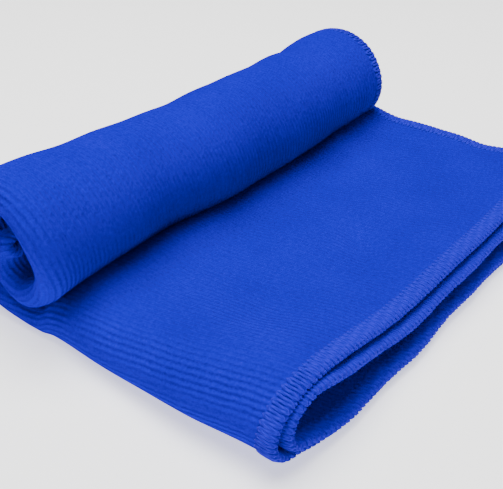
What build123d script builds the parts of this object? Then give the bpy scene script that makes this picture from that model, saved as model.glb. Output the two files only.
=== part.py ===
from build123d import *
import math
import os

# A microfibre polishing cloth, folded twice into a strip of four plies, with the
# strip rolled up from its folded end. Millimetres, +Z up. X runs along the strip, from
# the roll to the hem end, and Y across it, from the folded side to the open side. The
# origin is the middle of the underside.

# The cloth, laid flat
cloth_length = 400.0
cloth_width = 300.0
cloth_thickness = 1.5

# The overlocked edge, whose threads lie flush in the cloth
hem_width = 4.0
thread_layer = 0.3
needle_line = 0.5

# The rolled part
roll_radius = 17.0
ply_gap = 0.3
tail_slack = 3.0
tail_sweep = math.radians(160.0)

# The free end, which opens towards its hems
hem_front_height = 19.4
hem_back_height = 13.8
leaf_gap_front = 0.9
leaf_gap_back = 2.2
hem_skew = math.radians(2.0)
hem_lean = math.radians(12.0)
hinge_margin = 8.0
hinge_gap = 0.3

# Sizes that follow
strip_width = cloth_width / 2
half_width = strip_width / 2
strip_length = cloth_length / 2
ply_pitch = cloth_thickness + ply_gap
stack = 3 * ply_pitch + cloth_thickness
mid_cloth = cloth_thickness / 2

back_radius = roll_radius + ply_gap / 2
front_radius = roll_radius - stack / 2
tail_radius = back_radius - stack - tail_slack
crease_radius = cloth_thickness + ply_gap / 2
crease_inside = ply_gap / 2
crease_offset = stack / 2 - crease_radius
rolled_length = (math.pi * (back_radius + front_radius)
                 + tail_sweep * tail_radius + crease_radius)
flat_length = strip_length - rolled_length

edge_y = half_width
core_y = edge_y - thread_layer
band_y = edge_y - hem_width
needle_y = band_y + needle_line

skew_reach = half_width * math.sin(hem_skew)
roll_x = (back_radius + stack / 2 - flat_length - skew_reach) / 2
hinge_x = roll_x + roll_radius + hinge_margin
hem_x = roll_x + flat_length - hem_width

strip_z = stack / 2
back_z = strip_z + back_radius
front_z = back_z + back_radius - front_radius
tail_z = front_z - front_radius + tail_radius

# Planes across the strip: local x runs across it and local y up
roll_side = Plane.YZ.offset(hinge_x - hinge_gap / 2)
flap_side = Plane.YZ.offset(hinge_x + hinge_gap / 2)
hem_outward = Vector(math.cos(hem_skew), -math.sin(hem_skew), 0)
hem_across = Vector(math.sin(hem_skew), math.cos(hem_skew), 0)
hem_normal = hem_outward * math.cos(hem_lean) + Vector(0, 0, math.sin(hem_lean))


def hem_side(distance):
    """Plane of the end hems, the given distance towards their cut edges."""
    origin = Vector(hem_x, 0, 0) + hem_outward * distance
    return Plane(origin=origin, x_dir=hem_across, z_dir=hem_normal)


hem_plane = hem_side(0)

# The rolled end of the strip, where the plies are creased in pairs
tail_angle = math.radians(-90) - tail_sweep
tail_inward = Vector(-math.cos(tail_angle), 0, -math.sin(tail_angle))
tail_along = Vector(math.sin(tail_angle), 0, -math.cos(tail_angle))
tail_tip = Vector(roll_x, 0, tail_z) - tail_inward * tail_radius
tail_side = Plane(origin=tail_tip, x_dir=(0, 1, 0), z_dir=Vector(0, 1, 0).cross(tail_inward))


def crease_side(y, offset):
    """Plane along the strip at its rolled end: local x runs on past the end."""
    origin = tail_tip + tail_inward * offset + Vector(0, y, 0)
    return Plane(origin=origin, x_dir=tail_along, z_dir=tail_along.cross(tail_inward))


class Leaf:
    """A section of one leaf: two plies joined by the fold along the strip's side.

    The heights are those of its outer faces, at the fold and at the open edge, and a
    depth is measured from the outer faces into the cloth.
    """

    def __init__(self, low, high, edge_low, edge_high, fold_y):
        self.low = low
        self.high = high
        self.edge_low = edge_low
        self.edge_high = edge_high
        self.bend_y = fold_y + (high - low) / 2

    def top(self, y, depth=0.0):
        share = (y - self.bend_y) / (edge_y - self.bend_y)
        return (y, self.high + share * (self.edge_high - self.high) - depth)

    def bottom(self, y, depth=0.0):
        share = (y - self.bend_y) / (edge_y - self.bend_y)
        return (y, self.low + share * (self.edge_low - self.low) + depth)

    def nose(self, depth=0.0):
        return (self.bend_y - (self.high - self.low) / 2 + depth, (self.high + self.low) / 2)


# Depths of the two faces of the cloth and of the threads laid in them
outer_face = (0.0, thread_layer)
inner_face = (cloth_thickness, cloth_thickness - thread_layer)


def pressed_leaf(inset):
    return Leaf(inset, stack - inset, inset, stack - inset, -half_width + inset)


inset_front = cloth_thickness + leaf_gap_front
inset_back = cloth_thickness + leaf_gap_back
pressed_leaves = {"outer": pressed_leaf(0), "inner": pressed_leaf(ply_pitch)}
open_leaves = {
    "outer": Leaf(0, hem_front_height, 0, hem_back_height, -half_width),
    "inner": Leaf(
        inset_front,
        hem_front_height - inset_front,
        inset_back,
        hem_back_height - inset_back,
        -half_width + inset_front,
    ),
}


def leaf_section(leaf, plane):
    """A whole leaf, thinned at its open edges where the threads lie."""
    shallow = thread_layer
    deep = cloth_thickness - thread_layer
    with BuildSketch(plane) as section:
        with BuildLine():
            Line(leaf.top(band_y), leaf.top(leaf.bend_y))
            ThreePointArc(leaf.top(leaf.bend_y), leaf.nose(), leaf.bottom(leaf.bend_y))
            Polyline(
                leaf.bottom(leaf.bend_y),
                leaf.bottom(band_y),
                leaf.bottom(band_y, shallow),
                leaf.bottom(core_y, shallow),
                leaf.bottom(core_y, deep),
                leaf.bottom(band_y, deep),
                leaf.bottom(band_y, cloth_thickness),
                leaf.bottom(leaf.bend_y, cloth_thickness),
            )
            ThreePointArc(
                leaf.bottom(leaf.bend_y, cloth_thickness),
                leaf.nose(cloth_thickness),
                leaf.top(leaf.bend_y, cloth_thickness),
            )
            Polyline(
                leaf.top(leaf.bend_y, cloth_thickness),
                leaf.top(band_y, cloth_thickness),
                leaf.top(band_y, deep),
                leaf.top(core_y, deep),
                leaf.top(core_y, shallow),
                leaf.top(band_y, shallow),
                leaf.top(band_y),
            )
        make_face()
    return section.sketch


def layer_section(leaf, depths, plane):
    """The layer of a leaf between two depths, all along the section."""
    outside, inside = depths
    with BuildSketch(plane) as section:
        with BuildLine():
            Line(leaf.top(edge_y, outside), leaf.top(leaf.bend_y, outside))
            ThreePointArc(
                leaf.top(leaf.bend_y, outside),
                leaf.nose(outside),
                leaf.bottom(leaf.bend_y, outside),
            )
            Polyline(
                leaf.bottom(leaf.bend_y, outside),
                leaf.bottom(edge_y, outside),
                leaf.bottom(edge_y, inside),
                leaf.bottom(leaf.bend_y, inside),
            )
            ThreePointArc(
                leaf.bottom(leaf.bend_y, inside),
                leaf.nose(inside),
                leaf.top(leaf.bend_y, inside),
            )
            Polyline(
                leaf.top(leaf.bend_y, inside),
                leaf.top(edge_y, inside),
                leaf.top(edge_y, outside),
            )
        make_face()
    return section.sketch


def looper_section(ply, start_y, depths, plane):
    """A looper thread on one face of a ply, bent over half of its cut edge."""
    surface, layer = depths
    with BuildSketch(plane) as section:
        with BuildLine():
            Polyline(
                ply(start_y, surface),
                ply(edge_y, surface),
                ply(edge_y, mid_cloth),
                ply(core_y, mid_cloth),
                ply(core_y, layer),
                ply(start_y, layer),
                close=True,
            )
        make_face()
    return section.sketch


def needle_section(ply, depths, plane):
    """The needle thread, in a line along the inner side of the loopers."""
    surface, layer = depths
    with BuildSketch(plane) as section:
        with BuildLine():
            Polyline(
                ply(band_y, surface),
                ply(needle_y, surface),
                ply(needle_y, layer),
                ply(band_y, layer),
                close=True,
            )
        make_face()
    return section.sketch


def crease_section(radii, plane):
    """Half a ring past the rolled end of the strip, from one ply to the next."""
    outer, inner = radii
    with BuildSketch(plane) as section:
        with BuildLine():
            Line((0, inner), (0, outer))
            ThreePointArc((0, outer), (outer, 0), (0, -outer))
            Line((0, -outer), (0, -inner))
            ThreePointArc((0, -inner), (inner, 0), (0, inner))
        make_face()
    return section.sketch


def save(piece, name):
    piece.part.label = name
    export_step(piece.part, f"parts/{name}.step")
    print(f"{name}: {len(piece.part.solids())} solids, {piece.part.volume:.1f} mm3")


# The middle of the strip, from the hinge back and around the roll
with BuildLine(Plane.XZ) as strip_line:
    Line((hinge_x - hinge_gap / 2, strip_z), (roll_x, strip_z))
    CenterArc((roll_x, back_z), back_radius, -90, -180)
    CenterArc((roll_x, front_z), front_radius, 90, -180)
    CenterArc((roll_x, tail_z), tail_radius, -90, -math.degrees(tail_sweep))
strip_path = strip_line.wires()[0]

# The middle of the crease, from the upper open edge round the fold to the lower one
bend_y = pressed_leaves["outer"].bend_y
with BuildLine(tail_side) as crease_line:
    Line((band_y, crease_offset), (bend_y, crease_offset))
    ThreePointArc(
        (bend_y, crease_offset),
        (bend_y - crease_offset, 0),
        (bend_y, -crease_offset),
    )
    Line((bend_y, -crease_offset), (band_y, -crease_offset))
crease_path = crease_line.wires()[0]


def rolled_cloth():
    """Both leaves of the rolled part, joined by the crease at their far end."""
    whole = (crease_radius, crease_inside)
    thinned = (crease_radius - thread_layer, crease_inside + thread_layer)
    with BuildPart() as cloth:
        for leaf in pressed_leaves.values():
            sweep(leaf_section(leaf, roll_side), path=strip_path)
        sweep(crease_section(whole, crease_side(band_y, crease_offset)), path=crease_path)
        for offset in (crease_offset, -crease_offset):
            extrude(
                crease_section(thinned, crease_side(band_y, offset)),
                amount=core_y - band_y,
            )
    return cloth


def free_leaf(name):
    """A leaf of the free end, which opens from the hinge to its hem."""
    core = (thread_layer, cloth_thickness - thread_layer)
    with BuildPart() as cloth:
        loft(
            [
                leaf_section(pressed_leaves[name], flap_side),
                leaf_section(open_leaves[name], hem_plane),
            ],
            ruled=True,
        )
        extrude(
            layer_section(open_leaves[name], core, hem_side(0)),
            amount=hem_width - thread_layer,
            dir=hem_outward,
        )
    return cloth


def end_needle(leaf, right):
    with BuildPart() as thread:
        extrude(layer_section(leaf, right, hem_side(0)), amount=needle_line, dir=hem_outward)
    return thread


def end_looper(leaf, depths, start):
    """A looper thread across the end of a leaf, bent over half of its cut edge."""
    cap_start = hem_width - thread_layer
    with BuildPart() as thread:
        extrude(
            layer_section(leaf, depths, hem_side(start)),
            amount=hem_width - start,
            dir=hem_outward,
        )
        extrude(
            layer_section(leaf, (depths[1], mid_cloth), hem_side(cap_start)),
            amount=thread_layer,
            dir=hem_outward,
        )
    return thread


def side_thread_free(sections):
    """A side hem's thread on the two plies of the free end, one solid on each."""
    with BuildPart() as thread:
        for pressed_section, open_section in sections:
            loft([pressed_section, open_section], ruled=True)
    return thread


def side_needle_rolled(sections, offset):
    radii = (crease_radius, crease_radius - thread_layer)
    with BuildPart() as thread:
        for section in sections:
            sweep(section, path=strip_path)
        extrude(crease_section(radii, crease_side(band_y, offset)), amount=needle_line)
    return thread


def side_looper_rolled(sections, offset, radii, start_y):
    """A looper thread along one ply, round the crease and back along the next."""
    mid_radius = crease_inside + mid_cloth
    with BuildPart() as thread:
        for section in sections:
            sweep(section, path=strip_path)
        extrude(
            crease_section(radii, crease_side(start_y, offset)),
            amount=edge_y - start_y,
        )
        cap = (max(radii[1], mid_radius), min(radii[0], mid_radius))
        extrude(crease_section(cap, crease_side(core_y, offset)), amount=edge_y - core_y)
    return thread


os.makedirs("parts", exist_ok=True)

save(rolled_cloth(), "rolled_cloth")
save(free_leaf("outer"), "outer_leaf_free_end")
save(free_leaf("inner"), "inner_leaf_free_end")

# The two end hems. The right side of the cloth is outside the outer leaf and inside
# the inner one.
for name, right, wrong in (("outer", outer_face, inner_face), ("inner", inner_face, outer_face)):
    leaf = open_leaves[name]
    save(end_needle(leaf, right), f"{name}_end_hem_needle_thread")
    save(end_looper(leaf, right, needle_line), f"{name}_end_hem_upper_looper")
    save(end_looper(leaf, wrong, 0), f"{name}_end_hem_lower_looper")

# The two side hems, one along the upper pair of plies and one along the lower pair
right_faces = {"outer": outer_face, "inner": inner_face}
wrong_faces = {"outer": inner_face, "inner": outer_face}
outside_radii = (crease_radius, crease_radius - thread_layer)
inside_radii = (crease_inside + thread_layer, crease_inside)


def ply(leaf, side):
    return leaf.top if side == "upper" else leaf.bottom


def needle_sections(leaves, side, plane):
    return [needle_section(ply(leaves[n], side), right_faces[n], plane) for n in leaves]


def looper_sections(leaves, side, faces, start_y, plane):
    return [looper_section(ply(leaves[n], side), start_y, faces[n], plane) for n in leaves]


for side, offset in (("upper", crease_offset), ("lower", -crease_offset)):
    rolled = needle_sections(pressed_leaves, side, roll_side)
    save(side_needle_rolled(rolled, offset), f"{side}_side_hem_needle_thread")
    free = zip(
        needle_sections(pressed_leaves, side, flap_side),
        needle_sections(open_leaves, side, hem_plane),
    )
    save(side_thread_free(free), f"{side}_side_hem_needle_thread_free_end")
    for thread, faces, radii, start_y in (
        ("upper_looper", right_faces, outside_radii, needle_y),
        ("lower_looper", wrong_faces, inside_radii, band_y),
    ):
        rolled = looper_sections(pressed_leaves, side, faces, start_y, roll_side)
        save(side_looper_rolled(rolled, offset, radii, start_y), f"{side}_side_hem_{thread}")
        free = zip(
            looper_sections(pressed_leaves, side, faces, start_y, flap_side),
            looper_sections(open_leaves, side, faces, start_y, hem_plane),
        )
        save(side_thread_free(free), f"{side}_side_hem_{thread}_free_end")
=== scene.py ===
"""A microfibre cloth, folded twice into a strip of four plies and rolled up from its folded end.

Every point of the flat cloth is worked out through both folds and the roll, in millimetres. The
threads of the four overlocked edges are laid on the same shape.
"""

import math

import bpy
import numpy as np
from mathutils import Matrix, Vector


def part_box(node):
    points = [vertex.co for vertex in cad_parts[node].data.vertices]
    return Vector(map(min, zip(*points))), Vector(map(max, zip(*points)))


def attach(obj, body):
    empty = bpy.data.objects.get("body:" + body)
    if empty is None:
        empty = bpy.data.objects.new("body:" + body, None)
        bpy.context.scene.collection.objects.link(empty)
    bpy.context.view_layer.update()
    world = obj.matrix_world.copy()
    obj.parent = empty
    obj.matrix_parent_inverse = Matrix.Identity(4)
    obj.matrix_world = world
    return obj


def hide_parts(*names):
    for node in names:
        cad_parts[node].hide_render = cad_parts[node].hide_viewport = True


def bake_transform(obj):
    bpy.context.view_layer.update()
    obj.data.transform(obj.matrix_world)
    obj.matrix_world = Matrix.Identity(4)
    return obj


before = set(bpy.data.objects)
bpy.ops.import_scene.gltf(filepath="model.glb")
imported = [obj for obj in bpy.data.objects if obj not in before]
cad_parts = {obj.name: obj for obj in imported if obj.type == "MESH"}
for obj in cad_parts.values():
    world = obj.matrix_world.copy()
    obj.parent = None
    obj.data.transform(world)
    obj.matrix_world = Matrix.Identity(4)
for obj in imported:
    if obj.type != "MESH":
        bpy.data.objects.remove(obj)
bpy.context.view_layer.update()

# ---------------------------------------------------------------- sizes, in millimetres
CLOTH_LENGTH = 400.0
CLOTH_WIDTH = 300.0
THICK = 1.5  # one layer of the knitted cloth
GAP = 0.3  # between plies that are pressed together
STACK = 4 * THICK + 3 * GAP
MID = STACK / 2
HALF = CLOTH_LENGTH / 2  # where the length is folded
FOLD = CLOTH_WIDTH / 2  # where the width is folded
FRONT_Y = -75.0  # the folded side of the strip

low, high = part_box("rolled_cloth")
roll_top = high.z * 1000
roll_x = low.x * 1000 + roll_top / 2
BACK_R = roll_top / 2 - MID
BACK_Z = roll_top / 2
FRONT_R = (roll_top - STACK - GAP) / 2 - MID
FRONT_Z = STACK + GAP + FRONT_R + MID
TAIL_R = 7.25  # radius of the last turn, inside the roll
TAIL_Z = STACK + GAP + MID + TAIL_R
TURN_1 = math.pi * BACK_R
TURN_2 = TURN_1 + math.pi * FRONT_R
TAIL_LENGTH = math.radians(160) * TAIL_R
CREASE_R = 0.9
CREASE_LENGTH = 1.65  # the last of the strip, creased at the rolled-in tip
FLAT = HALF - TURN_2 - TAIL_LENGTH - CREASE_LENGTH  # the part of the strip that lies on the table

RIB = 1.42  # from one knitted rib to the next
RIB_LEAN = math.tan(math.radians(7))
COURSE = 1.25  # from one row of knitted loops to the next
STITCH = 1.55  # from one overlock stitch to the next
BITE = 4.0  # how far the needle line is from the cut edge
OVERHANG = 0.5  # how far the looper threads pass the cut edge
THREAD_SIDES = 6


def step(v, start, end):
    """A smooth rise from 0 at start to 1 at end."""
    t = np.clip((v - start) / (end - start), 0, 1)
    return t * t * (3 - 2 * t)


def bell(v, middle, width):
    """A smooth bump of height 1."""
    return np.exp(-(((v - middle) / width) ** 2))


# ---------------------------------------------------------------- the folded and rolled shape
def opening(s):
    """0 where the strip goes under the roll, 1 at the hem."""
    return np.clip((FLAT - 4 - s) / (FLAT - 4), 0, 1)


def corner_lift(y):
    """The lower plies rise at the near corner of the hem end."""
    return 5.6 * bell(y, -76, 13)


def layer_height(s, y, ply):
    """Height of a ply's middle above the strip's underside. Plies count 1 to 4 from the top down."""
    o = opening(s)
    hem = bell(s, 0, 6)
    flare = step(y, 56, 75)
    rise = 8.4 + 6.0 * bell(y, -62, 23) + 1.2 * step(y, 20, 72)
    if ply == 1:
        lip = 1.3 * hem * (0.6 + 0.4 * step(y, -20, -60)) - 1.6 * bell(s, 0, 16) * step(y, 44, 74)
        lip += 1.8 * bell(s, 26, 14) * step(y, 58, 72)
        flat = 6.15 + o**0.85 * rise - lip + flare * 3.6 * (1 - o**2)
    elif ply == 2:
        apart = 3.9 - 1.6 * step(y, -50, -66)
        flat = 4.35 + o**0.95 * (rise + 1.8 - apart) - 0.5 * hem + flare * 2.4 * (1 - o**2)
    elif ply == 3:
        flat = 2.55 + o**2 * (0.5 + corner_lift(y)) + 1.0 * o**2 * step(y, 30, 70) + flare * 0.9
    else:
        flat = 0.75 + o**2 * 0.9 * corner_lift(y) + 0.15 * flare
    pushed = 3.7 + 2.2 * step(y, 0, -35) - 2.6 * step(y, -56, -74)
    pushed += 1.2 * step(y, 35, 60) - 1.0 * step(y, 64, 76)
    pushed *= (1, 0.7, 0.3, 0)[ply - 1]
    return flat + pushed * bell(s, 71.5, np.where(s < 71.5, 9 + 3 * step(y, 0, -35), 4))


def rolled_height(s, y, ply):
    """The same height in the rolled part, where the plies are pressed and loosen at both ends."""
    base = (6.15, 4.35, 2.55, 0.75)[ply - 1]
    q = s - FLAT
    off_table = 1 if ply < 3 else step(q, 0, 28)
    flare = step(y, 58, 76) * off_table
    spread = (1.5, 0.5, -0.4, -1.2)[ply - 1]
    free = 1 - 0.75 * bell(q, TURN_2, 16)
    loose = step(y, -58, -74) * (0.9, 0.35, -0.35, -0.9)[ply - 1] * (0.45 + 0.25 * np.sin(q * 0.11))
    return base + flare * spread * free + loose * off_table * (1 - 0.8 * bell(q, TURN_2, 14))


def bulge(s, y):
    """How far the roll's wall stands out from its plain round shape. Its lower front is pulled in."""
    q = s - FLAT
    inside = step(q, 2, 16) * (1 - 0.85 * bell(q, TURN_2, 14)) * step(q, TURN_2 + 8, TURN_2 - 24)
    wave = 0.35 * np.sin(y * 0.071 + 0.9) * np.sin(q * 0.075 + 0.4)
    wave += 0.22 * np.sin(y * 0.163 + q * 0.09 + 2.1) + 0.13 * np.sin(y * 0.31 - q * 0.13)
    ends = 2.7 * step(y, -18, -72) + 0.9 * step(y, 50, 64) - 1.2 * step(y, 66, 76)
    dent = -0.9 * bell(y - 0.25 * (q - TURN_1), 52, 5) * bell(q, TURN_1 - 12, 22)
    tucked = 0.9 + 2.3 * step(y, 0, -35) - 0.8 * step(y, -62, -76) + 1.3 * step(y, 35, 70)
    tucked = tucked * bell(q, TURN_1 + 30, 9)
    tucked += 0.4 * bell(q, TURN_1 + 18, 9) * step(y, -20, -72)
    return inside * (wave + ends + dent) - tucked


def ripple(s, y):
    """Soft unevenness of the flat end, which every ply follows."""
    o = opening(s)
    wave = 0.30 * np.sin(y * 0.085 + s * 0.05 + 0.5) + 0.22 * np.sin(y * 0.15 - s * 0.11 + 1.7)
    wave += 0.16 * np.sin(y * 0.04 + s * 0.19)
    wave -= 1.1 * bell(s - 0.9 * y, 29, 5) * bell(y, -5, 11) + 0.9 * bell(s, 24, 8) * bell(y, -45, 9)
    wave += 0.9 * bell(s + 0.5 * y, 42, 6) * bell(y, 7, 12) - 0.45 * bell(s, 42, 9) * bell(y, 44, 10)
    wave += 0.45 * bell(s - 0.4 * y, 9, 6) * bell(y, 42, 12)
    return wave * np.clip(o * 3, 0, 1) ** 2 * step(y, -72, -52)


def heights(s, y, ply):
    """Height of the middle of a ply anywhere along the strip."""
    q = s - FLAT
    m = step(q, -6, 8)
    flat = layer_height(s, y, ply) + ripple(s, y) * (1, 0.9, 0.5, 0.12)[ply - 1]
    return flat * (1 - m) + rolled_height(s, y, ply) * m - bulge(s, y)


def fold_across(s, b, leaf):
    """Where a point of one leaf is across the strip: (y, height). Leaf 0 is the outer, 1 the inner."""
    upper, lower = ((1, 4), (2, 3))[leaf]
    o = opening(s)
    u = np.abs(FOLD - b)
    top = b <= FOLD
    base = step(s, FLAT + TURN_2 - 28, FLAT + TURN_2 - 10)
    tip = FRONT_Y + leaf * (3.0 + 0.3 * o**2 - 1.8 * base) + 0.3 * np.sin(s * 0.09 + leaf)
    tip += 1.3 * bell(s, 68, 24) - 0.9 * bell(s, 24, 12)
    pressed = (4.4, 1.5)[leaf] - (1.7, 0.5)[leaf] * base
    depth_up = pressed + o * (9.5, 8.0)[leaf]
    depth_low = pressed + o * (3.5, 2.6)[leaf]
    deep = np.where(top, depth_up, depth_low)
    y_start = tip + deep
    h_up = heights(s, tip + depth_up, upper)
    h_low = heights(s, tip + depth_low, lower)
    middle = h_low + (h_up - h_low) * (0.5 - 0.09 * o)
    tall = np.where(top, h_up - middle, middle - h_low)
    quarter = math.pi / 4 * (3 * (deep + tall) - np.sqrt((3 * deep + tall) * (deep + 3 * tall)))
    angle = np.clip(u / quarter, 0, 1) * math.pi / 2
    y_fold = tip + deep * (1 - np.cos(angle))
    sign = np.where(top, 1.0, -1.0)
    h_fold = middle + sign * tall * np.sin(angle)
    back = back_edge(s, leaf, top)
    y_flat = y_start + (u - quarter) * (back - y_start) / (FOLD - quarter)
    y = np.where(u < quarter, y_fold, y_flat)
    h_flat = np.where(top, heights(s, y, upper), heights(s, y, lower))
    h = np.where(u < quarter, h_fold, h_flat)
    return y, h


def back_edge(s, leaf, top):
    """Where a ply's side hem lies across the strip."""
    o = opening(s)
    wave = 0.5 * np.sin(s * 0.12 + 1.0) + 0.35 * np.sin(s * 0.27 + leaf)
    outer = 75.6 - 1.0 * step(s, 66, 46) - 2.2 * step(s, 36, 24)
    upper = np.where(leaf == 0, outer, 76.2 + 1.9 * step(s, 42, 22))
    lower = np.where(leaf == 0, 75.8, 76.8) + 0.6 * o - 0.8 * bell(s, FLAT + TURN_1 + 22, 14)
    return np.where(top, upper, lower) + wave * 0.6


def hem_reach(y, ply):
    """How far a ply's cut edge lies beyond the plain end of the strip."""
    line = (-1.3, 0.9, 1.9, 0.6)[ply - 1]
    skew = (0.018, 0.03, 0.036, 0.036)[ply - 1]
    bow = (0.3, 0.9, 1.6, 1.2)[ply - 1] * bell(y, -52, 24)
    bow += (0, 0, 0.5, 0.5)[ply - 1] * bell(y, -20, 14)
    uneven = 0.3 * np.sin(y * 0.075 + ply) + (0, 0.2, 0.25, 0)[ply - 1] * np.sin(y * 0.21)
    return line + bow + skew * y + uneven


def along_strip(s, y, n):
    """Where a point of the strip lies: flat on the table, up and over, down again, and round inside."""
    q = s - FLAT
    inward = n - MID
    one = -math.pi / 2 - q / BACK_R
    two = math.pi / 2 - (q - TURN_1) / FRONT_R
    three = -math.pi / 2 - (q - TURN_2) / TAIL_R
    x = np.where(q < 0, roll_x - q, roll_x + (BACK_R - inward) * np.cos(one))
    z = np.where(q < 0, n, BACK_Z + (BACK_R - inward) * np.sin(one))
    x = np.where(q > TURN_1, roll_x + (FRONT_R - inward) * np.cos(two), x)
    z = np.where(q > TURN_1, FRONT_Z + (FRONT_R - inward) * np.sin(two), z)
    x = np.where(q > TURN_2, roll_x + (TAIL_R - inward) * np.cos(three), x)
    z = np.where(q > TURN_2, TAIL_Z + (TAIL_R - inward) * np.sin(three), z)
    slide = -4.4 * step(q, 22, 76) * (1 - 1.1 * step(q, TURN_2 - 32, TURN_2 - 4))
    slide -= 1.2 * step(q, 10, 60) * step(y, 20, 75)
    return np.stack([x, y + slide, z], -1)


def place(a, b):
    """A point of the cut cloth, a along its length and b across its width, where the folds put it."""
    a, b = np.broadcast_arrays(np.asarray(a, float), np.asarray(b, float))
    from_end = np.minimum(a, CLOTH_LENGTH - a)
    from_side = np.minimum(b, CLOTH_WIDTH - b)
    rounding = 2.2 * np.clip(1 - from_end / 7, 0, 1) ** 2 * np.clip(1 - from_side / 7, 0, 1) ** 2
    a = a + np.where(a < HALF, rounding, -rounding)
    b = b + np.where(b < FOLD, rounding, -rounding)
    bend = math.pi * CREASE_R
    start = HALF - bend / 2
    phi = np.clip((a - start) / bend, 0, 1) * math.pi
    w = (1 - np.cos(phi)) / 2
    s = np.where(a > CLOTH_LENGTH - start, CLOTH_LENGTH - a, start + CREASE_R * np.sin(phi))
    s = np.where(a < start, a, s)
    y0, h0 = fold_across(s, b, 0)
    y1, h1 = fold_across(s, b, 1)
    y = y0 * (1 - w) + y1 * w
    n = h0 * (1 - w) + h1 * w
    up = step(b, FOLD + 9, FOLD - 9)
    outer = a < HALF
    high_ply = np.where(outer, hem_reach(y, 1), hem_reach(y, 2))
    low_ply = np.where(outer, hem_reach(y, 4), hem_reach(y, 3))
    reach = (high_ply * up + low_ply * (1 - up)) * step(s, 70, 0)
    p = along_strip(s, y, n)
    p[..., 0] += reach
    return p


def outward(a, b):
    """Unit normal on the right side of the cloth, which is the outside of the outer leaf."""
    e = 0.05
    da = place(a + e, b) - place(a - e, b)
    db = place(a, b + e) - place(a, b - e)
    n = np.cross(db, da)
    return n / np.maximum(np.linalg.norm(n, axis=-1, keepdims=True), 1e-9)


# ---------------------------------------------------------------- meshes
def mesh_object(name, verts, faces, uv):
    """A smooth mesh from points in millimetres, with one UV pair for each point."""
    me = bpy.data.meshes.new(name)
    me.from_pydata((verts / 1000).tolist(), [], faces)
    me.update()
    layer = me.uv_layers.new(name="cloth")
    loops = np.zeros(len(me.loops), np.int32)
    me.loops.foreach_get("vertex_index", loops)
    layer.data.foreach_set("uv", uv[loops].astype(np.float32).ravel())
    me.polygons.foreach_set("use_smooth", [True] * len(me.polygons))
    o = bpy.data.objects.new(name, me)
    bpy.context.scene.collection.objects.link(o)
    return o


def ruled(parts):
    """Grid lines from (from, to, spacing) runs."""
    lines = []
    for start, end, gap in parts:
        lines.append(np.linspace(start, end, max(2, int(round((end - start) / gap)) + 1))[:-1])
    return np.append(np.concatenate(lines), parts[-1][1])


def build_cloth():
    """The cut cloth as one closed sheet, with three grid lines on the right side to one on the wrong."""
    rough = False
    a = ruled([
        (0, 8, 2.0 if rough else 1.0),
        (8, HALF - 4, 4.0 if rough else 1.8),
        (HALF - 4, HALF + 4, 0.5),
        (HALF + 4, CLOTH_LENGTH - 8, 6.0 if rough else 3.2),
        (CLOTH_LENGTH - 8, CLOTH_LENGTH, 2.0 if rough else 1.0),
    ])
    b = np.linspace(0, CLOTH_WIDTH, 3 * (80 if rough else 120) + 1)
    grid_a, grid_b = np.meshgrid(a, b, indexing="ij")
    normal = outward(grid_a, grid_b)
    top = place(grid_a, grid_b) + normal * THICK / 2
    under = place(grid_a[:, ::3], grid_b[:, ::3]) - normal[:, ::3] * THICK / 2
    na, nb = grid_a.shape
    t = np.arange(na * nb).reshape(na, nb)
    u = t.size + np.arange(na * (nb // 3 + 1)).reshape(na, -1)
    edge = np.zeros((na, nb), bool)
    edge[[0, -1]] = True
    edge[:, [0, -1]] = True
    r = np.full((na, nb), -1)
    r[edge] = t.size + u.size + np.arange(edge.sum())

    def past(v, end):
        """The cut edge is rounded, half a millimetre beyond the faces."""
        return v + np.where(v <= 0, -0.5, np.where(v >= end, 0.5, 0))

    rim = place(past(grid_a[edge], CLOTH_LENGTH), past(grid_b[edge], CLOTH_WIDTH))
    verts = np.concatenate([top.reshape(-1, 3), under.reshape(-1, 3), rim])

    def quads(*corners):
        return np.stack(corners, -1).reshape(-1, len(corners)).tolist()

    faces = quads(t[:-1, 1:], t[1:, 1:], t[1:, :-1], t[:-1, :-1])
    faces += quads(u[:-1, :-1], u[1:, :-1], u[1:, 1:], u[:-1, 1:])
    faces += quads(t[:-1, 0], t[1:, 0], r[1:, 0], r[:-1, 0])
    faces += quads(r[:-1, 0], r[1:, 0], u[1:, 0], u[:-1, 0])
    faces += quads(t[1:, -1], t[:-1, -1], r[:-1, -1], r[1:, -1])
    faces += quads(r[1:, -1], r[:-1, -1], u[:-1, -1], u[1:, -1])
    faces += quads(t[0, 1:], t[0, :-1], r[0, :-1], r[0, 1:])
    faces += quads(r[0, 3::3], r[0, 2::3], r[0, 1::3], r[0, :-1:3], u[0, :-1], u[0, 1:])
    faces += quads(t[-1, :-1], t[-1, 1:], r[-1, 1:], r[-1, :-1])
    faces += quads(r[-1, :-1:3], r[-1, 1::3], r[-1, 2::3], r[-1, 3::3], u[-1, 1:], u[-1, :-1])
    flat = [np.stack([g.ravel(), h.ravel()], -1) for g, h in (
        (grid_a, grid_b), (grid_a[:, ::3], grid_b[:, ::3]), (grid_a[edge], grid_b[edge]),
    )]
    return mesh_object("microfibre_cloth", verts, faces, np.concatenate(flat) / CLOTH_LENGTH)


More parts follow.
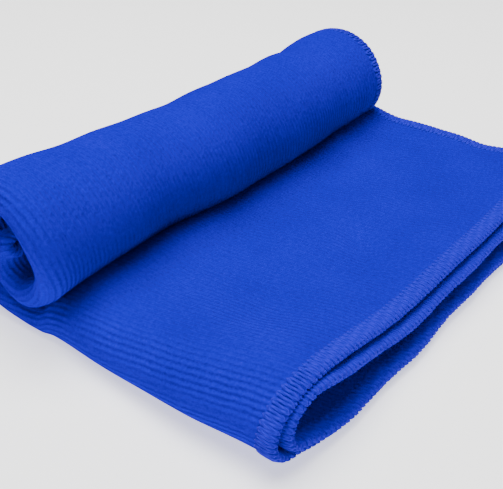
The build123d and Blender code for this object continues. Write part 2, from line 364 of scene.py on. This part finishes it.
def tube(path, radius, sides):
    """A closed round tube along a path of points, its rings kept from twisting."""
    d = np.gradient(path, axis=0)
    d /= np.maximum(np.linalg.norm(d, axis=1, keepdims=True), 1e-9)
    ref = np.cross(d[0], (0.3, 0.5, 0.8))
    ref /= np.linalg.norm(ref)
    first, second = [], []
    for t in d:
        ref = ref - t * (ref @ t)
        ref = ref / max(np.linalg.norm(ref), 1e-9)
        first.append(ref)
        second.append(np.cross(t, ref))
    first, second = np.array(first), np.array(second)
    turn = np.linspace(0, 2 * math.pi, sides, endpoint=False)
    ring = np.cos(turn)[None, :, None] * first[:, None] + np.sin(turn)[None, :, None] * second[:, None]
    radius = np.broadcast_to(radius, len(path))
    verts = (path[:, None] + ring * radius[:, None, None]).reshape(-1, 3)
    k = len(path)
    i = np.arange(k - 1)[:, None] * sides
    j = np.arange(sides)[None, :]
    j2 = (j + 1) % sides
    faces = np.stack([i + j, i + j2, i + sides + j2, i + sides + j], -1).reshape(-1, 4).tolist()
    faces.append(list(range(sides))[::-1])
    faces.append([(k - 1) * sides + c for c in range(sides)])
    return verts, faces


def on_edge(side, e, d):
    """Flat coordinates of a point e along a cut edge and d in from it."""
    if side == "upper_side":
        return e, d
    if side == "lower_side":
        return e, CLOTH_WIDTH - d
    if side == "outer_end":
        return d, e
    return CLOTH_LENGTH - d, e


def hem_thread(side, kind):
    """One thread of an overlocked edge: the needle's stitches, or a looper's zigzag over the cut edge."""
    length = CLOTH_LENGTH if side.endswith("side") else CLOTH_WIDTH
    count = int(round((length - 2) / STITCH))
    per = 10
    t = np.arange(count * per + 1) / per
    pitch = (length - 2) / count
    seed = {"upper_side": 0.3, "lower_side": 1.7, "outer_end": 2.9, "inner_end": 4.1}[side]
    uneven = 0.25 * np.sin(t * 1.9 + seed) + 0.18 * np.sin(t * 3.3 + 2 * seed)
    if kind == "needle_thread":
        e = 1 + pitch * t
        d = BITE + 0.12 * np.sin(t * 2.3 + seed)
        part = np.abs(t - np.round(t))
        h = 0.95 - 1.4 * bell(part, 0, 0.13)
        radius = 0.30
    else:
        wave = np.cos(2 * math.pi * t)
        swing = np.sign(wave) * np.abs(wave) ** 0.85
        e = 1 + pitch * (t + 0.07 * np.sin(4 * math.pi * t))
        d = (BITE - OVERHANG) / 2 + ((BITE + OVERHANG) / 2 + 0.10 * uneven) * swing
        h = 0.80 * np.sqrt(np.clip((d + 0.52) / 1.1, 0, 1)) - 0.10 * np.clip(d - 3.2, 0, 1)
        if kind == "lower_looper":
            e = np.minimum(e + pitch * 0.5, length - 0.5)
            h = -h
        radius = 0.42 + 0.03 * np.sin(t * 5.1 + seed)
    a, b = on_edge(side, e, d)
    path = place(a, b) + outward(a, b) * h[:, None]
    verts, faces = tube(path, radius, THREAD_SIDES)
    around = np.tile(np.arange(THREAD_SIDES) / THREAD_SIDES, len(path))
    uv = np.stack([np.repeat(t / count, THREAD_SIDES), around], -1)
    return mesh_object(f"{side}_hem_{kind}_stitches", verts, faces, uv)


# ---------------------------------------------------------------- materials
class Nodes:
    """A new material and short ways to fill its node tree."""

    def __init__(self, name):
        self.material = bpy.data.materials.new(name)
        self.material.use_nodes = True
        self.tree = self.material.node_tree
        self.tree.nodes.clear()

    def add(self, kind, **values):
        node = self.tree.nodes.new(kind)
        for key, value in values.items():
            setattr(node, key, value)
        return node

    def link(self, out, into):
        self.tree.links.new(out, into)

    def math(self, op, x, y=None):
        node = self.add("ShaderNodeMath", operation=op)
        for k, v in enumerate((x, y)):
            if v is None:
                continue
            if isinstance(v, (int, float)):
                node.inputs[k].default_value = v
            else:
                self.link(v, node.inputs[k])
        return node.outputs[0]

    def noise(self, vector, scale, detail=2.0, rough=0.5):
        node = self.add("ShaderNodeTexNoise")
        node.inputs["Scale"].default_value = scale
        node.inputs["Detail"].default_value = detail
        node.inputs["Roughness"].default_value = rough
        self.link(vector, node.inputs["Vector"])
        return node.outputs["Fac"]

    def ramp(self, value, stops):
        node = self.add("ShaderNodeValToRGB")
        node.color_ramp.elements[0].position = stops[0][0]
        node.color_ramp.elements[0].color = (*stops[0][1], 1)
        node.color_ramp.elements[1].position = stops[-1][0]
        node.color_ramp.elements[1].color = (*stops[-1][1], 1)
        for where, colour in stops[1:-1]:
            e = node.color_ramp.elements.new(where)
            e.color = (*colour, 1)
        self.link(value, node.inputs["Fac"])
        return node.outputs["Color"]


def cloth_material():
    m = Nodes("knit_cloth")
    uv = m.add("ShaderNodeUVMap", uv_map="cloth")
    scale = m.add("ShaderNodeVectorMath", operation="SCALE")
    m.link(uv.outputs[0], scale.inputs[0])
    scale.inputs["Scale"].default_value = CLOTH_LENGTH
    mm = scale.outputs[0]
    split = m.add("ShaderNodeSeparateXYZ")
    m.link(mm, split.inputs[0])
    a, b = split.outputs["X"], split.outputs["Y"]
    drift = m.math("MULTIPLY", m.math("SUBTRACT", m.noise(mm, 0.11, 2), 0.5), 0.9)
    across = m.math("ADD", m.math("SUBTRACT", b, m.math("MULTIPLY", a, RIB_LEAN)), drift)
    rib = m.math("COSINE", m.math("MULTIPLY", across, 2 * math.pi / RIB))
    course = m.math("ADD", a, m.math("MULTIPLY", b, RIB_LEAN))
    jitter = m.math("MULTIPLY", m.math("SUBTRACT", m.noise(mm, 0.55, 2), 0.5), 1.3)
    half = m.math("MULTIPLY", across, math.pi / RIB)
    row = m.math("MULTIPLY", m.math("ADD", course, jitter), 2 * math.pi / COURSE)
    loop = m.math("COSINE", m.math("ADD", row, half))
    fuzz = m.noise(mm, 1.5, 3, 0.65)
    rib_part = m.math("MULTIPLY", m.math("ADD", rib, 1), 0.42)
    loop_part = m.math("MULTIPLY", m.math("ADD", loop, 1), 0.045)
    height = m.math("ADD", m.math("ADD", rib_part, loop_part), m.math("MULTIPLY", fuzz, 1.2))
    patch = m.noise(mm, 0.045, 3, 0.55)
    tuft = m.math("MULTIPLY", m.math("SUBTRACT", m.noise(mm, 0.8, 2, 0.6), 0.5), 0.45)
    tone_and_groove_shade = m.math("ADD", m.math("MULTIPLY", fuzz, 0.65), m.math("MULTIPLY", patch, 0.42))
    # Painted shade: the small rib term makes the grooves between the ribs slightly darker. Fuzz, patch
    # and tuft are the cloth's own uneven tone.
    tone_and_groove_shade = m.math("ADD", m.math("ADD", tone_and_groove_shade, tuft), m.math("MULTIPLY", rib, 0.03))
    tone_and_groove_shade = m.math("ADD", tone_and_groove_shade, 0.02)
    stops = [(0.2, (0.006, 0.0, 0.33)), (0.55, (0.012, 0.0, 0.50)), (0.95, (0.020, 0.003, 0.68))]
    colour = m.ramp(tone_and_groove_shade, stops)
    bump = m.add("ShaderNodeBump")
    bump.inputs["Strength"].default_value = 0.8
    bump.inputs["Distance"].default_value = 0.0006
    m.link(height, bump.inputs["Height"])
    shader = m.add("ShaderNodeBsdfPrincipled")
    m.link(colour, shader.inputs["Base Color"])
    m.link(bump.outputs[0], shader.inputs["Normal"])
    shader.inputs["Roughness"].default_value = 0.93
    shader.inputs["Specular IOR Level"].default_value = 0.0
    shader.inputs["Sheen Weight"].default_value = 0.05
    shader.inputs["Sheen Roughness"].default_value = 0.5
    shader.inputs["Sheen Tint"].default_value = (0.16, 0.08, 1.0, 1)
    out = m.add("ShaderNodeOutputMaterial")
    m.link(shader.outputs[0], out.inputs[0])
    return m.material


def thread_material(name, deep, light, twist):
    m = Nodes(name)
    uv = m.add("ShaderNodeUVMap", uv_map="cloth")
    split = m.add("ShaderNodeSeparateXYZ")
    m.link(uv.outputs[0], split.inputs[0])
    along = m.math("MULTIPLY", split.outputs["X"], twist)
    spiral = m.math("ADD", along, m.math("MULTIPLY", split.outputs["Y"], 2 * math.pi))
    strand = m.math("ADD", m.math("MULTIPLY", m.math("SINE", spiral), 0.5), 0.5)
    # Painted shade: the colour follows the twist's relief, darker in the grooves between the thread's
    # plies and lighter on their crests.
    colour = m.ramp(strand, [(0.1, deep), (0.9, light)])
    bump = m.add("ShaderNodeBump")
    bump.inputs["Strength"].default_value = 0.5
    bump.inputs["Distance"].default_value = 0.0001
    m.link(strand, bump.inputs["Height"])
    shader = m.add("ShaderNodeBsdfPrincipled")
    m.link(colour, shader.inputs["Base Color"])
    m.link(bump.outputs[0], shader.inputs["Normal"])
    shader.inputs["Roughness"].default_value = 0.75
    shader.inputs["Specular IOR Level"].default_value = 0.05
    shader.inputs["Sheen Weight"].default_value = 0.12
    shader.inputs["Sheen Tint"].default_value = (0.3, 0.2, 1.0, 1)
    out = m.add("ShaderNodeOutputMaterial")
    m.link(shader.outputs[0], out.inputs[0])
    return m.material


cloth = build_cloth()
cloth.data.materials.append(cloth_material())
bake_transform(cloth)
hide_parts("rolled_cloth", "outer_leaf_free_end", "inner_leaf_free_end")

# Each thread gets two colours: a darker one painted as shade in the grooves of its twist, and a lighter
# one for the crests.
needle = thread_material("needle_thread", (0.008, 0.002, 0.34), (0.014, 0.006, 0.48), 5000)
looper = thread_material("looper_thread", (0.011, 0.003, 0.46), (0.018, 0.008, 0.60), 7000)
for side in ("upper_side", "lower_side", "outer_end", "inner_end"):
    for kind in ("needle_thread", "upper_looper", "lower_looper"):
        thread = hem_thread(side, kind)
        thread.data.materials.append(needle if kind == "needle_thread" else looper)
        node = f"{side}_hem_{kind}"
        if side.endswith("side"):
            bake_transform(thread)
            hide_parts(node, node + "_free_end")
        else:
            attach(thread, "free_end")
            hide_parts(node)

# ---------------------------------------------------------------- floor, light and camera
floor_mesh = bpy.data.meshes.new("floor")
corners = [(x, y, -0.0002) for x, y in ((-6, -6), (6, -6), (6, 6), (-6, 6))]
floor_mesh.from_pydata(corners, [], [(0, 1, 2, 3)])
floor = bpy.data.objects.new("floor", floor_mesh)
bpy.context.scene.collection.objects.link(floor)
paper = Nodes("floor_paper")
paper_shader = paper.add("ShaderNodeBsdfPrincipled")
paper_shader.inputs["Base Color"].default_value = (0.93, 0.93, 0.93, 1)
paper_shader.inputs["Roughness"].default_value = 0.9
paper_shader.inputs["Emission Color"].default_value = (1, 1, 1, 1)
paper_shader.inputs["Emission Strength"].default_value = 1.0
paper_out = paper.add("ShaderNodeOutputMaterial")
paper.link(paper_shader.outputs[0], paper_out.inputs[0])
floor.data.materials.append(paper.material)

world = bpy.data.worlds.new("studio")
bpy.context.scene.world = world
world.use_nodes = True
world.node_tree.nodes["Background"].inputs["Color"].default_value = (1, 1, 1, 1)
world.node_tree.nodes["Background"].inputs["Strength"].default_value = 0.12


def lamp(name, size, power, where, aim):
    data = bpy.data.lights.new(name, "AREA")
    data.shape = "SQUARE"
    data.size = size
    data.energy = power
    o = bpy.data.objects.new(name, data)
    o.location = where
    d = np.array(aim) - np.array(where)
    o.rotation_mode = "QUATERNION"
    o.rotation_quaternion = Vector(d).to_track_quat("-Z", "Y")
    bpy.context.scene.collection.objects.link(o)


lamp("softbox", 0.55, 10.5, (-0.05, -0.04, 0.7), (0, 0, 0))
lamp("fill", 0.6, 0.4, (0.6, -0.5, 0.5), (0, 0, 0))

camera_data = bpy.data.cameras.new("camera")
camera_data.sensor_width = 36
camera_data.lens = 56.9
camera_data.clip_start = 0.01
camera_data.clip_end = 20
camera = bpy.data.objects.new("camera", camera_data)
aim_x, aim_y = -0.0118, -0.0063
azimuth, elevation, distance = math.radians(38.11), math.radians(32.74), 0.2394
away = np.array([
    math.cos(elevation) * math.sin(azimuth),
    -math.cos(elevation) * math.cos(azimuth),
    math.sin(elevation),
])
camera.location = np.array([aim_x, aim_y, 0]) + away * distance
camera.rotation_euler = (math.pi / 2 - elevation, 0, azimuth)
bpy.context.scene.collection.objects.link(camera)
bpy.context.scene.camera = camera
